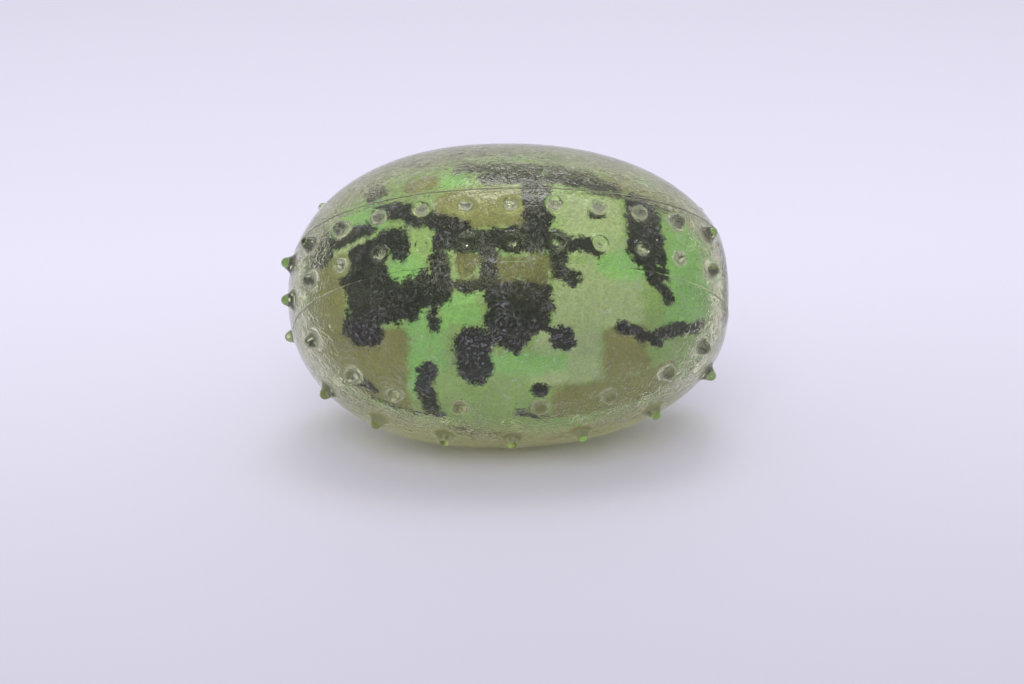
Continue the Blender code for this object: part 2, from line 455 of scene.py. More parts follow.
def solid_of_sheets(name, outer, inner, wrap, kept=None):
    """A closed solid between two grids of points of one shape (rows, columns, 3). wrap joins the last
    column to the first. kept marks the cells that are there, and every open side gets a wall. Returns
    the mesh, and which points of the two grids are its points."""
    rows, columns = outer.shape[:2]
    across = columns if wrap else columns - 1
    kept = np.ones((rows - 1, across), bool) if kept is None else kept
    index = np.arange(rows * columns).reshape(rows, columns)
    right = np.roll(index, -1, 1) if wrap else index[:, 1:]
    left = index if wrap else index[:, :-1]
    a, b, c, d = left[:-1], right[:-1], right[1:], left[1:]
    under = rows * columns
    cells = np.stack((a, b, c, d), -1)[kept]
    faces = [cells, cells[:, ::-1] + under]
    padded = np.zeros((rows + 1, across + 2), bool)
    padded[1:-1, 1:-1] = kept
    if wrap:
        padded[1:-1, 0], padded[1:-1, -1] = kept[:, -1], kept[:, 0]
    for neighbour, start, end in (
        (padded[:-2, 1:-1], a, b),
        (padded[1:-1, 2:], b, c),
        (padded[2:, 1:-1], c, d),
        (padded[1:-1, :-2], d, a),
    ):
        open_side = kept & ~neighbour
        one, two = start[open_side], end[open_side]
        faces.append(np.stack((two, one, one + under, two + under), -1))
    points = np.concatenate((outer.reshape(-1, 3), inner.reshape(-1, 3)))
    faces = np.concatenate(faces)
    used = np.unique(faces)
    place = np.zeros(len(points), int)
    place[used] = np.arange(len(used))
    return mesh_from(name, points[used], place[faces].tolist()), used


def turned(name, x, r, around, axis_height):
    """A profile (x, r) turned round the ball's axis, its ends on the axis."""
    turn = np.linspace(0, 2 * math.pi, around, endpoint=False)
    across, up = r[:, None] * np.cos(turn), axis_height + r[:, None] * np.sin(turn)
    return solid_of_rings(name, np.stack(np.broadcast_arrays(x[:, None], across, up), -1))


def wander(turn, size):
    """A line's small wobble: five sine waves of unlike lengths, added."""
    waves = ((37, 0.2, 0.3), (71, 1.9, 0.25), (113, 4.1, 0.2), (191, 0.7, 0.15), (283, 2.6, 0.1))
    return size * sum(share * np.sin(count * turn + start) for count, start, share in waves)


def weld_stray(offset, edge, turn, size):
    """How far a moulding's points stray across the weld: the wander, dying away from the edge as
    exp(-distance / WELD_FADE)."""
    return np.exp(-np.abs(np.abs(offset) - edge) / WELD_FADE) * wander(turn, size)


def nub_seats(node, egg):
    """Foot and direction of every nub on a CAD node: the node's points near the full nub height are
    grouped by closeness, and each group's middle is a tip."""
    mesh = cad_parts[node].data
    points = np.empty(len(mesh.vertices) * 3, np.float32)
    mesh.vertices.foreach_get("co", points)
    points = np.unique(points.reshape(-1, 3).astype(float).round(7), axis=0)
    local = points - egg.middle
    size = egg.gauge(local[:, 0], np.hypot(local[:, 1], local[:, 2]), 0.0)
    rise = np.linalg.norm(local, axis=1) * (1 - 1 / size)
    tips = points[rise > TIP_SHARE * rise.max()]
    near = np.linalg.norm(tips[:, None] - tips[None], axis=2) < TIP_SPREAD
    leader = near.argmax(1)
    return [egg.foot(tips[leader == one].mean(0)) for one in np.unique(leader)]


def nub_profile(nubs):
    """A nub's side as a line from its tip: a round tip, a straight side that leans inward, a hollow
    at the foot (a curve through the corner between its two ends), and the skin as far as it is drawn
    up. Returns the distance along it, the distance from the nub's axis and the height."""
    tip, lean = nubs.tip_radius, nubs.lean
    turn = np.linspace(math.pi / 2, lean, 12)
    dome = np.stack((tip * np.cos(turn), nubs.height - tip + tip * np.sin(turn)), -1)
    corner = np.array((dome[-1, 0] + dome[-1, 1] * math.tan(lean), 0.0))
    side = np.array((math.sin(lean), -math.cos(lean)))
    start, end = corner - side * 2 * nubs.fillet, corner + (2 * nubs.fillet, 0)
    t = np.linspace(0, 1, 9)[:, None]
    hollow = (1 - t) ** 2 * start + 2 * t * (1 - t) * corner + t**2 * end
    line = np.concatenate((dome, hollow, [(nubs.reach, 0.0)]))
    length = np.concatenate(([0], np.cumsum(np.linalg.norm(np.diff(line, axis=0), axis=1))))
    return length, line[:, 0], line[:, 1]


def raise_nubs(points, seats, nubs):
    """Draws nubs out of a fine surface: a point at a distance d from a nub's axis, within its reach,
    goes to the share d / reach of the way along the nub's side. Returns how much of each point is nub."""
    length, radii, heights = nub_profile(nubs)
    flat = points.reshape(-1, 3)
    share = np.zeros(len(flat))
    for foot, way in seats:
        away = flat - foot
        near = np.flatnonzero(np.einsum("ij,ij->i", away, away) < (1.5 * nubs.reach) ** 2)
        rise = away[near] @ way
        level = away[near] - rise[:, None] * way
        d = np.linalg.norm(level, axis=1)
        inside = d < nubs.reach
        near, rise, level, d = near[inside], rise[inside], level[inside], d[inside]
        along = d / nubs.reach * length[-1]
        radius, height = np.interp(along, length, radii), np.interp(along, length, heights)
        factor = np.where(d > TINY, radius / np.maximum(d, TINY), 0.0)
        flat[near] = foot + level * factor[:, None] + way * (rise * factor**2 + height)[:, None]
        share[near] = np.maximum(share[near], np.clip(height / NUB_BLEND, 0, 1))
    return share


def rest_on_table(points, softness):
    """Presses whatever is below the table up onto it, with a soft turn at the edge of the patch:
    z becomes (z + sqrt(z^2 + softness^2)) / 2."""
    z = points[..., 2]
    points[..., 2] = np.where(z < PRESSED_ZONE, (z + np.sqrt(z * z + softness**2)) / 2, z)


def mark_welds(piece, egg, edge, nubs, material):
    """Gives the faces inside the welds their own material: tall ones whose normal runs along the way
    across the band, near its edge."""
    mesh = piece.data
    count = len(mesh.polygons)
    normals, centres, areas = np.empty(count * 3), np.empty(count * 3), np.empty(count)
    mesh.polygons.foreach_get("normal", normals)
    mesh.polygons.foreach_get("center", centres)
    mesh.polygons.foreach_get("area", areas)
    across = np.abs(normals.reshape(-1, 3) @ egg.side_way)
    offset = np.abs((centres.reshape(-1, 3) - egg.middle) @ egg.side_way)
    faces_across = (across > WELD_FACING) & (areas > WELD_FACE)
    in_weld = faces_across & (np.abs(offset - edge) < 2 * nubs.weld_wander)
    mesh.materials.append(material)
    mesh.polygons.foreach_set("material_index", in_weld.astype(np.int32))


def float_attribute(mesh, name, values):
    layer = mesh.attributes.new(name, "FLOAT", "POINT")
    layer.data.foreach_set("value", np.asarray(values, np.float32))


def finish_piece(piece, material, nodes):
    """Gives a piece its finish in a material slot and its body, hides its CAD nodes, and gives it a mesh of
    its own.
    """
    piece.data.materials.append(material)
    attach(piece, BODY)
    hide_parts(*nodes)
    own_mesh(piece)


# Materials

PLUG_TINT = (0.90, 0.92, 0.80)
NUB_TINT = (0.72, 0.80, 0.46)  # a nub is thicker than the wall, so its tint is deeper
GEL_TINTS = ((0.30, 0.31, 0.20), (0.52, 0.54, 0.38))
LAMP_SHARE = 0.8  # of a lamp's light that the skin lets through
GRAIN_FOLD = 0.12
GRAIN_HEIGHT = 0.03 * MM
GRAIN_ON_NUBS = 0.1  # of the grain's height elsewhere
GRAIN_RIDGE_SHADE = 0.62  # of the skin's tint on the grain's ridges: painted shade, darker lines standing in for the grain's refraction
PAINTED_GLINT = (0.165, 0.155, 0.200)  # painted glints: light emitted on the sharpest ridges
PAINTED_RIM_GLOW = (0.046, 0.046, 0.008)  # painted light: emitted by the wall's bottom rim, standing in for light carried down the wall to the table
# The waves of a print's edge: the scale of a noise, and its size in millimetres
PRINT_WAVES = ((420.0, 1.6), (1500.0, 0.7), (3600.0, 0.9))
# The inks from the lowest up: the softness of the edge in millimetres, and how well the ink covers
INKS = (
    ("pale", 0.9, 1.0),
    ("bright", 0.8, 1.0),
    ("olive", 0.7, 1.0),
    ("black", 0.35, 0.97),
    ("square", 0.5, 0.95),
)


def feed(tree, node, inputs):
    """Gives a node's inputs their values, or links where a value is another node's output."""
    for name, value in inputs.items():
        if isinstance(value, bpy.types.NodeSocket):
            tree.links.new(value, node.inputs[name])
        else:
            node.inputs[name].default_value = value
    return node


def add_node(tree, kind, inputs, **settings):
    """A new node with its settings, such as its operation, and then its inputs."""
    node = tree.nodes.new("ShaderNode" + kind)
    for name, value in settings.items():
        setattr(node, name, value)
    return feed(tree, node, inputs)


def maths(tree, operation, *values):
    return add_node(tree, "Math", dict(enumerate(values)), operation=operation).outputs[0]


def noise(tree, place, scale, **more):
    return add_node(tree, "TexNoise", {"Vector": place, "Scale": scale, **more}).outputs["Fac"]


def ranged(tree, value, start, end, low=0.0, high=1.0, kind="LINEAR"):
    """Goes from low to high as a value goes from start to end, and stays within them."""
    inputs = {"Value": value, "From Min": start, "From Max": end, "To Min": low, "To Max": high}
    return add_node(tree, "MapRange", inputs, interpolation_type=kind).outputs["Result"]


def blended(tree, under, over, share, blend="MIX"):
    """One colour over another by a share."""
    inputs = {"A": under, "B": over, "Factor": share}
    return add_node(tree, "Mix", inputs, data_type="RGBA", blend_type=blend).outputs["Result"]


def bumped(tree, height, strength, distance):
    inputs = {"Strength": strength, "Distance": distance, "Height": height}
    return add_node(tree, "Bump", inputs).outputs["Normal"]


def object_place(tree):
    return add_node(tree, "TexCoord", {}).outputs["Object"]


def height_above_table(tree, place):
    return add_node(tree, "SeparateXYZ", {"Vector": place}).outputs["Z"]


def painted(tree, name):
    """The value of a piece's own attribute."""
    return add_node(tree, "Attribute", {}, attribute_name=name).outputs["Fac"]


def opaque(colour, share=1.0):
    """A share of a colour, with an alpha of 1."""
    return (*(share * value for value in colour), 1)


def group_socket(group, name, into, kind="NodeSocketFloat", default=None):
    socket = group.interface.new_socket(name=name, in_out="INPUT" if into else "OUTPUT", socket_type=kind)
    if default is not None:
        socket.default_value = default


def grain_group():
    """The skin's fine frosted grain as a height: a warped noise folded at its middle makes short
    crooked ridges, and a slower noise makes them come and go."""
    known = bpy.data.node_groups.get("frosted grain")
    if known:
        return known
    tree = bpy.data.node_groups.new("frosted grain", "ShaderNodeTree")
    group_socket(tree, "Ridge size", True, default=1.3 * MM)
    group_socket(tree, "Height", False)
    source, result = tree.nodes.new("NodeGroupInput"), tree.nodes.new("NodeGroupOutput")
    place = object_place(tree)
    scale = maths(tree, "DIVIDE", 1.0, source.outputs["Ridge size"])
    warped = noise(tree, place, scale, Detail=1.0, Distortion=0.6)
    ridges = maths(tree, "DIVIDE", maths(tree, "PINGPONG", warped, GRAIN_FOLD), GRAIN_FOLD)
    strength = ranged(tree, noise(tree, place, 260.0), 0.0, 1.0, 0.5, 1.3)
    feed(tree, result, {"Height": maths(tree, "MULTIPLY", ridges, strength)})
    return tree


def print_group():
    """One printed colour over another: a distance to the print's edge in millimetres, made wavy by
    noises, is turned into a soft-edged mask."""
    known = bpy.data.node_groups.get("printed colour")
    if known:
        return known
    tree = bpy.data.node_groups.new("printed colour", "ShaderNodeTree")
    group_socket(tree, "Under", True, "NodeSocketColor")
    group_socket(tree, "Ink", True, "NodeSocketColor")
    group_socket(tree, "Distance", True)
    group_socket(tree, "Waviness", True, default=1.0)
    group_socket(tree, "Softness", True, default=0.3)
    group_socket(tree, "Cover", True, default=1.0)
    group_socket(tree, "Colour", False, "NodeSocketColor")
    source, result = tree.nodes.new("NodeGroupInput"), tree.nodes.new("NodeGroupOutput")
    place = object_place(tree)
    waves = 0.0
    for scale, size in PRINT_WAVES:
        centred = maths(tree, "MULTIPLY_ADD", noise(tree, place, scale), 2 * size, -size)
        waves = maths(tree, "ADD", waves, centred)
    wavy = maths(tree, "MULTIPLY_ADD", waves, source.outputs["Waviness"], source.outputs["Distance"])
    edge = maths(tree, "DIVIDE", wavy, source.outputs["Softness"])
    mask = ranged(tree, edge, 1.0, -1.0, kind="SMOOTHSTEP")
    cover = maths(tree, "MULTIPLY", mask, source.outputs["Cover"])
    feed(tree, result, {"Colour": blended(tree, source.outputs["Under"], source.outputs["Ink"], cover)})
    return tree


def new_material(name):
    """A material, its node tree and its shader."""
    material = bpy.data.materials.new(name)
    material.use_nodes = True
    return material, material.node_tree, material.node_tree.nodes["Principled BSDF"]


def let_lamps_through(tree, shader, tint):
    """Clear elastomer casts a tinted shadow, not a black one: a ray that only looks for a lamp
    passes straight through."""
    path = add_node(tree, "LightPath", {})
    clear = add_node(tree, "BsdfTransparent", {"Color": opaque(tint, LAMP_SHARE)})
    either = add_node(tree, "MixShader", {"Fac": path.outputs["Is Shadow Ray"]})
    tree.links.new(shader.outputs["BSDF"], either.inputs[1])
    tree.links.new(clear.outputs["BSDF"], either.inputs[2])
    feed(tree, tree.nodes["Material Output"], {"Surface": either.outputs["Shader"]})


def skin_material(context):
    """Clear soft elastomer, frosted by its grain. Painted shade darkens its tint on the ridges, painted
    glints of emitted light sit on the sharpest ridges, the nubs are smoother, and painted light is emitted
    by the wall's rim just above the table."""
    known = bpy.data.materials.get("clear skin")
    if known:
        return known
    skin = context.scene.ball_colours.skin
    material, tree, shader = new_material("clear skin")
    nub = painted(tree, "nub")
    grain = add_node(tree, "Group", {}, node_tree=grain_group()).outputs["Height"]
    height = maths(tree, "MULTIPLY", grain, ranged(tree, nub, 0.0, 1.0, 1.0, GRAIN_ON_NUBS))
    # painted shade: the skin's tint is darker on the grain's ridges
    frosted = blended(tree, opaque(skin), opaque(skin, GRAIN_RIDGE_SHADE), height)
    # painted light: the wall gives off light from 1.5 to 10 mm above the table
    up = height_above_table(tree, object_place(tree))
    low = ranged(tree, up, 10 * MM, 3 * MM, kind="SMOOTHSTEP")
    off_table = ranged(tree, up, 1.5 * MM, 4.5 * MM, kind="SMOOTHSTEP")
    glow_mask = maths(tree, "MULTIPLY", low, off_table)
    painted_glow = blended(tree, opaque(PAINTED_RIM_GLOW, 0.0), opaque(PAINTED_RIM_GLOW), glow_mask)
    # painted glints: the highest ridges give off light
    glint_mask = ranged(tree, height, 0.72, 1.10, kind="SMOOTHSTEP")
    values = {
        "Base Color": blended(tree, frosted, opaque(NUB_TINT), nub),
        "Roughness": ranged(tree, nub, 0.0, 1.0, 0.06, 0.12),
        "Transmission Weight": 1.0,
        "IOR": 1.43,
        "Normal": bumped(tree, height, 1.0, GRAIN_HEIGHT),
        # painted light: the skin's emission carries the painted glints and the bottom rim's light
        "Emission Color": blended(tree, painted_glow, opaque(PAINTED_GLINT), glint_mask),
        "Emission Strength": 1.0,
    }
    feed(tree, shader, values)
    let_lamps_through(tree, shader, skin)
    return material


def weld_material(context):
    """The face inside a weld, where two mouldings have fused: it lets light straight through."""
    known = bpy.data.materials.get("fused weld")
    if known:
        return known
    material, tree, shader = new_material("fused weld")
    feed(tree, shader, {"Base Color": opaque(context.scene.ball_colours.skin), "Alpha": 0.0})
    return material


def plug_material():
    """The same elastomer, cast separately: a little cloudier."""
    material, tree, shader = new_material("clear plug")
    cloud = noise(tree, object_place(tree), 900.0)
    values = {
        "Base Color": opaque(PLUG_TINT),
        "Roughness": ranged(tree, cloud, 0.0, 1.0, 0.15, 0.35),
        "Transmission Weight": 1.0,
        "IOR": 1.48,
        "Normal": bumped(tree, cloud, 0.4, GRAIN_HEIGHT),
    }
    feed(tree, shader, values)
    let_lamps_through(tree, shader, PLUG_TINT)
    return material


def film_material(context):
    """The printed film: five inks over a green ground, each where its distance says, a little cloudy,
    and with painted light low down: up to 1.55 times lighter below 22 mm, for light from the table."""
    known = bpy.data.materials.get("camouflage film")
    if known:
        return known
    colours = context.scene.ball_colours
    material, tree, shader = new_material("camouflage film")
    colour = opaque(colours.middle)
    for name, softness, cover in INKS:
        ink = {"Ink": opaque(getattr(colours, name)), "Distance": painted(tree, name)}
        inputs = {"Under": colour, **ink, "Softness": softness, "Cover": cover}
        printed = add_node(tree, "Group", {}, node_tree=print_group())
        colour = feed(tree, printed, inputs).outputs["Colour"]
    place = object_place(tree)
    cloud = ranged(tree, noise(tree, place, 180.0, Detail=5.0), 0.0, 1.0, 0.75, 1.25)
    # painted light: the film's colour is made lighter towards the table
    low = ranged(tree, height_above_table(tree, place), 22 * MM, 10 * MM, 1.0, 1.55)
    cloudy = blended(tree, colour, cloud, 1.0, "MULTIPLY")
    feed(tree, shader, {"Base Color": blended(tree, cloudy, low, 1.0, "MULTIPLY"), "Roughness": 0.8})
    shader.inputs["Specular IOR Level"].default_value = 0.0
    return material


def gel_material():
    """Hazy gel, seen at the film's seam and through the plug."""
    material, tree, shader = new_material("hazy gel")
    cloud = noise(tree, object_place(tree), 300.0)
    dark, light = GEL_TINTS
    feed(tree, shader, {"Base Color": blended(tree, opaque(dark), opaque(light), cloud), "Roughness": 0.35})
    return material


# Pieces


def weld_profile(nubs, edge, wall, rows_out, rows_in, radius):
    """A shell's cross-section from its outer pole over the weld's rounded edge to its inner pole, as
    distances from the band's middle plane and depths below the surface. The skin's rise beside the
    weld dies away as exp(-(distance / bead width)^2)."""
    rounding = nubs.weld_edge
    last = math.acos((edge + rounding) / radius)
    outer = radius * np.cos(np.linspace(0, last, rows_out))
    bead = -nubs.weld_bead * np.exp(-(((outer - edge - rounding) / (2 * rounding)) ** 2))
    turn = np.radians((30, 60, 90))
    edge_offset = edge + rounding * (1 - np.sin(turn))
    edge_depth = rounding * (1 - np.cos(turn)) - nubs.weld_bead * (1 - np.sin(turn / 2))
    inner_radius = radius - wall
    last_in = math.acos(edge / inner_radius)
    inner = inner_radius * np.cos(np.linspace(last_in, 0, rows_in))
    offset = np.concatenate((outer, edge_offset, inner))
    depth = np.concatenate((bead, edge_depth, np.full(rows_in, wall)))
    return offset, depth


class BALL_OT_skin_shells(bpy.types.Operator):
    """Moulds the two shells of the skin: rings cut parallel to the band, from the pole to the weld
    and back along the inner wall, with nubs drawn out of the outer face"""

    bl_idname = "ball.skin_shells"
    bl_label = "Skin shells"

    ROWS_OUT = 134
    ROWS_IN = 14

    def execute(self, context):
        egg, sizes, nubs = egg_of(context), context.scene.ball_sizes, context.scene.ball_nubs
        turn = egg.loop_turns(context.scene.ball_stage.fineness)
        edge = sizes.band_width / 2 - nubs.weld_overlap / 2
        offset, depth = weld_profile(nubs, edge, sizes.skin_wall, self.ROWS_OUT, self.ROWS_IN, egg.radius)
        stray = weld_stray(offset[:, None], edge, turn, nubs.weld_wander)
        for name, side in (("skin_shell_back", 1.0), ("skin_shell_front", -1.0)):
            way = offset[:, None] + side * stray
            way[0], way[-1] = offset[0], offset[-1]
            rings = egg.cut(turn[None, :], side * way, depth[:, None])
            outer = rings[: self.ROWS_OUT]
            share = np.zeros(rings.shape[:2])
            share[: self.ROWS_OUT] = raise_nubs(outer, nub_seats(name, egg), nubs).reshape(outer.shape[:2])
            rest_on_table(outer, CONTACT_SOFTNESS)
            mesh = solid_of_rings(name + "_skin", rings)
            float_attribute(mesh, "nub", np.concatenate((share[1:-1].ravel(), (share[0, 0], 0.0))))
            piece = place_piece(name + "_skin", mesh)
            finish_piece(piece, skin_material(context), [name])
            mark_welds(piece, egg, edge, nubs, weld_material(context))
        return {"FINISHED"}


class BALL_OT_skin_band(bpy.types.Operator):
    """Moulds the band that runs lengthwise round the ball: its cross-section carried round the
    outline, with two rows of nubs and the plug's hole through the flat end"""

    bl_idname = "ball.skin_band"
    bl_label = "Skin band"

    ROWS = 44
    LOOP_SHARE = 1.12
    HOLE_PLAY = 0.1 * MM
    HOLE_BLEND = 5.8 * MM

    def execute(self, context):
        egg, sizes, nubs = egg_of(context), context.scene.ball_sizes, context.scene.ball_nubs
        turn = egg.loop_turns(int(context.scene.ball_stage.fineness * self.LOOP_SHARE))
        edge = sizes.band_width / 2 + nubs.weld_overlap / 2
        rounding = nubs.weld_edge
        angle = np.radians((90, 60, 30))
        side_offset = edge - rounding * (1 - np.sin(angle))
        side_depth = rounding * (1 - np.cos(angle)) - nubs.weld_bead * (1 - np.sin(angle / 2))
        flat = np.linspace(-edge + rounding, edge - rounding, self.ROWS)
        bead = -nubs.weld_bead * np.exp(-(((edge - rounding - np.abs(flat)) / (2 * rounding)) ** 2))
        offset = np.concatenate((-side_offset, flat, side_offset[::-1]))[:, None]
        depth = np.concatenate((side_depth, bead, side_depth[::-1]))[:, None]
        inner_offset = np.linspace(-edge, edge, len(offset))[:, None]
        stray = weld_stray(offset, edge, turn, nubs.weld_wander)
        inner_stray = weld_stray(inner_offset, edge, turn, nubs.weld_wander)
        outer = egg.cut(turn[None, :], offset + stray, depth)
        inner = egg.cut(turn[None, :], inner_offset + inner_stray, sizes.skin_wall)
        hole_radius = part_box("fill_plug")[1].y + self.HOLE_PLAY
        block = self.hole_block(egg, outer, hole_radius)
        corners = block & np.roll(block, -1, 1)
        kept = ~(corners[:-1] & corners[1:])
        self.round_hole(egg, outer, block, hole_radius)
        self.round_hole(egg, inner, block, hole_radius - PLUG_TAPER)
        share = raise_nubs(outer, nub_seats("skin_band", egg), nubs)
        mesh, used = solid_of_sheets("skin_band_skin", outer, inner, True, kept)
        share = np.concatenate((share, np.zeros(inner.shape[0] * inner.shape[1])))
        float_attribute(mesh, "nub", share[used])
        piece = place_piece("skin_band_skin", mesh)
        finish_piece(piece, skin_material(context), ["skin_band"])
        mark_welds(piece, egg, edge, nubs, weld_material(context))
        return {"FINISHED"}

    def hole_block(self, egg, points, radius):
        """Which points lie in the square round the axis at the flat end that the hole takes up."""
        local = points - egg.middle
        ring = np.maximum(np.abs(local @ egg.band_way), np.abs(local @ egg.side_way))
        return (local[..., 0] > egg.flat_half / 2) & (ring < radius)

    def round_hole(self, egg, points, block, radius):
        """Turns the block's edge into a circle: a square ring of half-width q round the axis becomes
        a circle of radius q, less and less out to HOLE_BLEND."""
        local = points - egg.middle
        v, w = local @ egg.band_way, local @ egg.side_way
        rows, columns = np.nonzero(block)
        high_v = np.abs(v[rows, columns]).max()
        high_w = np.abs(w[rows.min(), columns]).max()
        limit = max(np.abs(v[rows.min(), columns]).max(), np.abs(w[rows, columns]).max())
        ring = np.maximum(np.abs(v) * limit / high_v, np.abs(w) * limit / high_w)
        blend = np.clip((self.HOLE_BLEND - ring) / (self.HOLE_BLEND - limit), 0, 1)
        at_end = local[..., 0] > egg.flat_half / 2
        blend = np.where(at_end, blend * blend * (3 - 2 * blend), 0.0)
        stretch = blend * (ring / limit * radius / np.maximum(np.hypot(v, w), TINY) - 1)
        points += (v * stretch)[..., None] * egg.band_way + (w * stretch)[..., None] * egg.side_way


class BALL_OT_fill_plug(bpy.types.Operator):
    """Turns the plug: a tapered disc with a dimple, a neck and a barb"""

    bl_idname = "ball.fill_plug"
    bl_label = "Filling plug"

    NECK = 2.2 * MM
    NECK_LENGTH = 1.4 * MM
    BARB = 2.9 * MM
    BARB_LEAN = 1.0 * MM
    DIMPLE_DEPTH = 0.10 * MM
    DIMPLE_EDGE = 1.1 * MM
    RIM = 0.7 * MM
    ROUNDING = 0.25 * MM

    def execute(self, context):
        low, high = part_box("fill_plug")
        radius, soft = high.y, self.ROUNDING
        disc_end = high.x - context.scene.ball_sizes.skin_wall
        neck_end = disc_end - self.NECK_LENGTH
        corners = (
            (high.x - self.DIMPLE_DEPTH, 0.0, 0.0),
            (high.x - self.DIMPLE_DEPTH, radius - self.DIMPLE_EDGE, soft),
            (high.x, radius - self.RIM, soft),
            (high.x, radius, soft),
            (disc_end, radius - PLUG_TAPER, soft),
            (disc_end, self.NECK, soft),
            (neck_end, self.NECK, soft),
            (neck_end, self.BARB, soft / 2),
            (low.x, self.BARB - self.BARB_LEAN, soft),
            (low.x, 0.0, 0.0),
        )
        x, r = rounded_profile(corners, steps=5)
        piece = place_piece("fill_plug_cast", turned("fill_plug_cast", x, r, 96, AXIS_HEIGHT))
        finish_piece(piece, plug_material(), ["fill_plug"])
        return {"FINISHED"}


def rounded_profile(corners, steps):
    """A line through corners (x, r, rounding): each corner is cut back by its rounding and replaced
    by a curve whose control point is the corner."""
    places = np.array([corner[:2] for corner in corners])
    line = [places[:1]]
    for before, here, after, (_, _, rounding) in zip(places, places[1:], places[2:], corners[1:]):
        back, ahead = before - here, after - here
        cut_back = min(rounding, np.linalg.norm(back) / 2.1) / np.linalg.norm(back)
        cut_ahead = min(rounding, np.linalg.norm(ahead) / 2.1) / np.linalg.norm(ahead)
        t = np.linspace(0, 1, steps)[:, None]
        start, end = here + back * cut_back, here + ahead * cut_ahead
        line.append((1 - t) ** 2 * start + 2 * t * (1 - t) * here + t**2 * end)
    line.append(places[-1:])
    line = np.concatenate(line)
    return line[:, 0], line[:, 1]


def stroke_distance(x, h, strokes):
    """Distance in millimetres to the nearest stroke's edge, less than 0 inside it. A stroke is every
    point within its half-width of the line through its bends."""
    nearest = np.full(x.shape, FAR_AWAY)
    for half_width, bends in strokes:
        ends = np.array(bends, float) * (1.0, MM_PER_DEGREE)
        starts = ends[:-1] if len(ends) > 1 else ends
        stops = ends[1:] if len(ends) > 1 else ends
        for start, stop in zip(starts, stops):
            way = stop - start
            t = ((x - start[0]) * way[0] + (h - start[1]) * way[1]) / max(way @ way, TINY)
            t = np.clip(t, 0, 1)
            gone = np.hypot(x - start[0] - t * way[0], h - start[1] - t * way[1])
            nearest = np.minimum(nearest, gone - half_width)
    return nearest


def block_distance(x, h, blocks, rounding=1.4):
    """Distance in millimetres to the nearest block's edge, less than 0 inside it. A block's corners
    are rounded."""
    nearest = np.full(x.shape, FAR_AWAY)
    for x_low, x_high, h_low, h_high in blocks:
        middle_x, half_x = (x_low + x_high) / 2, (x_high - x_low) / 2 - rounding
        middle_h = (h_low + h_high) / 2 * MM_PER_DEGREE
        half_h = (h_high - h_low) / 2 * MM_PER_DEGREE - rounding
        dx, dh = np.abs(x - middle_x) - half_x, np.abs(h - middle_h) - half_h
        outside = np.hypot(np.maximum(dx, 0), np.maximum(dh, 0))
        nearest = np.minimum(nearest, outside + np.minimum(np.maximum(dx, dh), 0) - rounding)
    return nearest


class BALL_OT_print_film(bpy.types.Operator):
    """Lays the two halves of the printed film: the outline's profile carried half a turn round the
    axis, with folds, and for each ink the distance to the edge of its print"""

    bl_idname = "ball.print_film"
    bl_label = "Printed film"

    STATIONS = 210
    HEADINGS = 170
    POLE = 0.05 * MM
    NECK_HOLE = 2.6 * MM
    SQUARE_ROUNDING = 0.7

    def execute(self, context):
        egg, sizes = egg_of(context), context.scene.ball_sizes
        depth = sizes.skin_wall + sizes.gap
        seam_gap = sizes.gap / 2 / egg.radius
        x, r = egg.outline(self.STATIONS, depth, self.POLE, self.NECK_HOLE)
        inner_x, inner_r = egg.outline(self.STATIONS, depth + sizes.film_wall, self.POLE, self.NECK_HOLE)
        print_heading = np.linspace(seam_gap, math.pi - seam_gap, self.HEADINGS) + sizes.film_seam
        for name, mirror, turn in (("print_film_front", 1.0, 0.0), ("print_film_back", -1.0, math.pi)):
            heading = print_heading + turn
            along = np.broadcast_to(mirror * x[:, None] / MM, (self.STATIONS, self.HEADINGS))
            around = np.broadcast_to(np.degrees(print_heading) * MM_PER_DEGREE, along.shape)
            rise = sum(
                height * np.exp(-((stroke_distance(along, around, ((0.0, bends),)) / width) ** 2))
                for width, height, bends in FILM_FOLDS
            )
            outer = self.sheet(egg, x, r, heading, rise * MM)
            inner = self.sheet(egg, inner_x, inner_r, heading, 0.0)
            mesh, used = solid_of_sheets(name + "_sheet", outer, inner, False)
            for ink, distance in (
                ("black", stroke_distance(along, around, BLACK_STROKES)),
                ("olive", block_distance(along, around, OLIVE_BLOCKS)),
                ("square", block_distance(along, around, SQUARE_BLOCKS, self.SQUARE_ROUNDING)),
                ("bright", block_distance(along, around, BRIGHT_BLOCKS)),
                ("pale", block_distance(along, around, PALE_BLOCKS)),
            ):
                both = np.concatenate((distance.ravel(), distance.ravel()))
                float_attribute(mesh, ink, both[used])
            piece = place_piece(name + "_sheet", mesh)
            finish_piece(piece, film_material(context), [name])
        return {"FINISHED"}

    def sheet(self, egg, x, r, heading, rise):
        """Points of the turned outline, raised away from the axis."""
        radius = r[:, None] + rise
        across, up = -radius * np.cos(heading), radius * np.sin(heading)
        return egg.middle + np.stack(np.broadcast_arrays(x[:, None], across, up), -1)


class BALL_OT_gel_core(bpy.types.Operator):
    """Pours the gel core: the innermost outline turned round the axis, with a pocket for the barb"""

    bl_idname = "ball.gel_core"
    bl_label = "Gel core"

    STATIONS = 120
    AROUND = 160
    POCKET = 3.3 * MM

    def execute(self, context):
        egg, gap = egg_of(context), context.scene.ball_sizes.gap
        x, r = egg.outline(self.STATIONS, egg.inset_core, 0.0, self.POCKET)
        r[0] = 0.0
        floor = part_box("fill_plug")[0].x - gap
        x = np.concatenate((x + egg.middle[0], (floor + gap, floor, floor)))
        r = np.concatenate((r, (self.POCKET, self.POCKET - gap, 0.0)))
        piece = place_piece("gel_core_fill", turned("gel_core_fill", x, r, self.AROUND, AXIS_HEIGHT))
        finish_piece(piece, gel_material(), ["gel_core"])
        return {"FINISHED"}


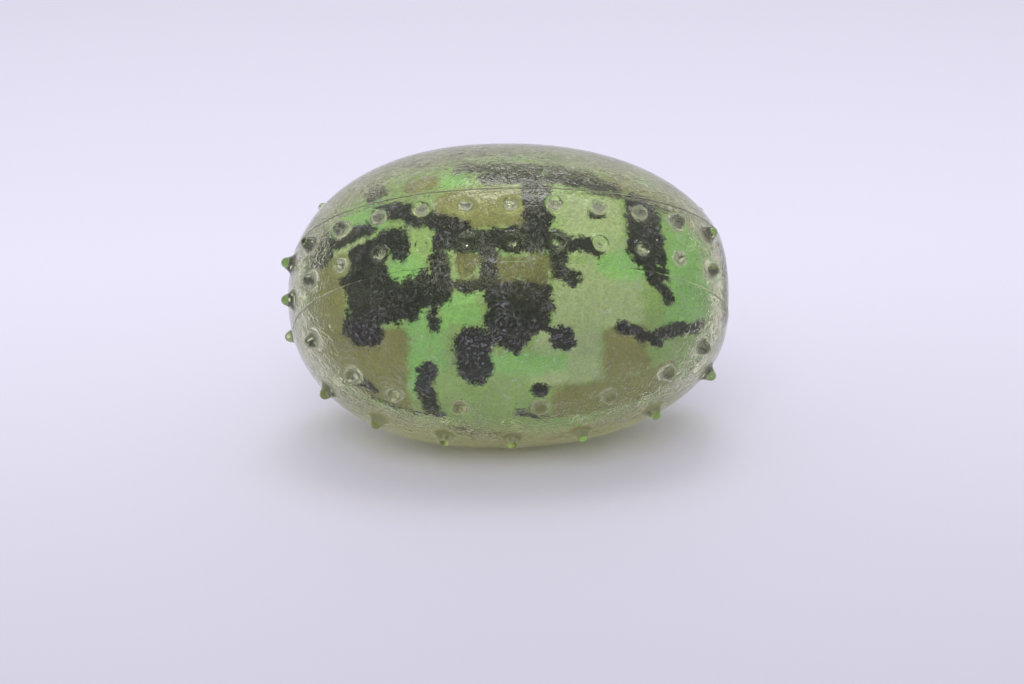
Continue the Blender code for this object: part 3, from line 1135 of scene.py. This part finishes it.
class BALL_OT_stage(bpy.types.Operator):
    """Sets the table, the soft lights and the camera"""

    bl_idname = "ball.stage"
    bl_label = "Stage"

    FLOOR_HALF = 2.0
    FLOOR_SHADE_RAMP = (-0.16, 0.12, 0.66, 1.0)  # painted shade: the table darkens towards the front; from and to a distance behind the ball, and its tones there
    ROOM_TONES = (-0.8, 0.6, 0.40, 0.85)  # from and to a share of the bright way, and its strengths there
    ROOM_COLOUR = (0.78, 0.78, 0.82)
    BRIGHT_WAY = (0.0, 0.80, 0.60)
    # Name, place, size in metres, power in watts, and whether it shows in reflections
    LAMPS = (
        ("front softbox", (-0.10, -0.60, 0.60), 0.50, 2.4, False),
        ("front card", (0.10, -1.00, 0.50), 1.00, 1.5, False),
        ("left card", (-0.55, -0.30, 0.14), 0.40, 0.50, False),
        ("right card", (0.55, -0.36, 0.12), 0.40, 0.25, False),
        ("top softbox", (0.05, 0.18, 0.80), 0.30, 1.3, True),
    )

    def execute(self, context):
        self.floor(context)
        self.room(context)
        for lamp in self.LAMPS:
            self.lamp(context, *lamp)
        self.camera(context)
        context.scene.view_settings.view_transform = "Standard"
        return {"FINISHED"}

    def floor(self, context):
        half = self.FLOOR_HALF
        corners = [(-half, -half, 0), (half, -half, 0), (half, half, 0), (-half, half, 0)]
        mesh = bpy.data.meshes.new("table")
        mesh.from_pydata(corners, [], [(0, 1, 2, 3)])
        floor = bpy.data.objects.new("table", mesh)
        context.scene.collection.objects.link(floor)
        material, tree, shader = new_material("pale table")
        behind = add_node(tree, "SeparateXYZ", {"Vector": object_place(tree)}).outputs["Y"]
        # painted shade: the table's colour is darker towards the camera
        painted_falloff = ranged(tree, behind, *self.FLOOR_SHADE_RAMP, kind="SMOOTHSTEP")
        colour = blended(tree, opaque(context.scene.ball_colours.floor), painted_falloff, 1.0, "MULTIPLY")
        feed(tree, shader, {"Base Color": colour, "Roughness": 0.6, "Specular IOR Level": 0.25})
        mesh.materials.append(material)

    def room(self, context):
        """Soft light from all sides, brightest from the top of the back."""
        world = bpy.data.worlds.new("soft room")
        world.use_nodes = True
        tree = world.node_tree
        way = add_node(tree, "TexCoord", {}).outputs["Generated"]
        facing = add_node(tree, "VectorMath", {0: way, 1: self.BRIGHT_WAY}, operation="DOT_PRODUCT")
        strength = ranged(tree, facing.outputs["Value"], *self.ROOM_TONES)
        feed(tree, tree.nodes["Background"], {"Color": opaque(self.ROOM_COLOUR), "Strength": strength})
        context.scene.world = world

    def lamp(self, context, name, place, size, power, mirrored):
        data = bpy.data.lights.new(name, "AREA")
        data.size = size
        data.energy = power
        lamp = bpy.data.objects.new(name, data)
        lamp.location = place
        lamp.visible_glossy = mirrored
        aim = Vector((0, 0, AXIS_HEIGHT)) - lamp.location
        lamp.rotation_euler = aim.to_track_quat("-Z", "Y").to_euler()
        context.scene.collection.objects.link(lamp)

    def camera(self, context):
        stage, egg = context.scene.ball_stage, egg_of(context)
        level = math.cos(stage.elevation)
        side, front = math.sin(stage.turn) * level, math.cos(stage.turn) * level
        back = Vector((-side, -front, math.sin(stage.elevation)))
        middle = Vector(egg.middle)
        right = Vector((0, 0, 1)).cross(back).normalized()
        up = back.cross(right)
        data = bpy.data.cameras.new("camera")
        data.lens = stage.lens
        camera = bpy.data.objects.new("camera", data)
        camera.location = middle + back * stage.distance
        aim = middle + right * stage.aim_right - up * stage.aim_down - camera.location
        camera.rotation_euler = aim.to_track_quat("-Z", "Y").to_euler()
        context.scene.collection.objects.link(camera)
        context.scene.camera = camera


class BALL_PT_panel(bpy.types.Panel):
    """Lists the ball's pieces and their settings"""

    bl_idname = "BALL_PT_panel"
    bl_label = "Squeeze Ball"
    bl_space_type = "VIEW_3D"
    bl_region_type = "UI"
    bl_category = "Squeeze Ball"

    def draw(self, context):
        for operator in OPERATORS:
            self.layout.operator(operator.bl_idname)
        for setting in SETTINGS:
            group = getattr(context.scene, setting)
            box = self.layout.box()
            for name in group.bl_rna.properties.keys():
                if name not in ("rna_type", "name"):
                    box.prop(group, name)


OPERATORS = (
    BALL_OT_gel_core,
    BALL_OT_print_film,
    BALL_OT_skin_shells,
    BALL_OT_skin_band,
    BALL_OT_fill_plug,
    BALL_OT_stage,
)
SETTINGS = {
    "ball_sizes": BallSizes,
    "ball_nubs": NubSizes,
    "ball_colours": Colours,
    "ball_stage": StageSizes,
}


def register():
    for kind in (*SETTINGS.values(), *OPERATORS, BALL_PT_panel):
        bpy.utils.register_class(kind)
    for name, kind in SETTINGS.items():
        setattr(bpy.types.Scene, name, PointerProperty(type=kind))


def unregister():
    for name in SETTINGS:
        delattr(bpy.types.Scene, name)
    for kind in (BALL_PT_panel, *reversed(OPERATORS), *reversed(SETTINGS.values())):
        bpy.utils.unregister_class(kind)


def main():
    register()
    bpy.ops.ball.gel_core()
    bpy.ops.ball.print_film()
    bpy.ops.ball.skin_shells()
    bpy.ops.ball.skin_band()
    bpy.ops.ball.fill_plug()
    bpy.ops.ball.stage()


if __name__ == "__main__":
    main()
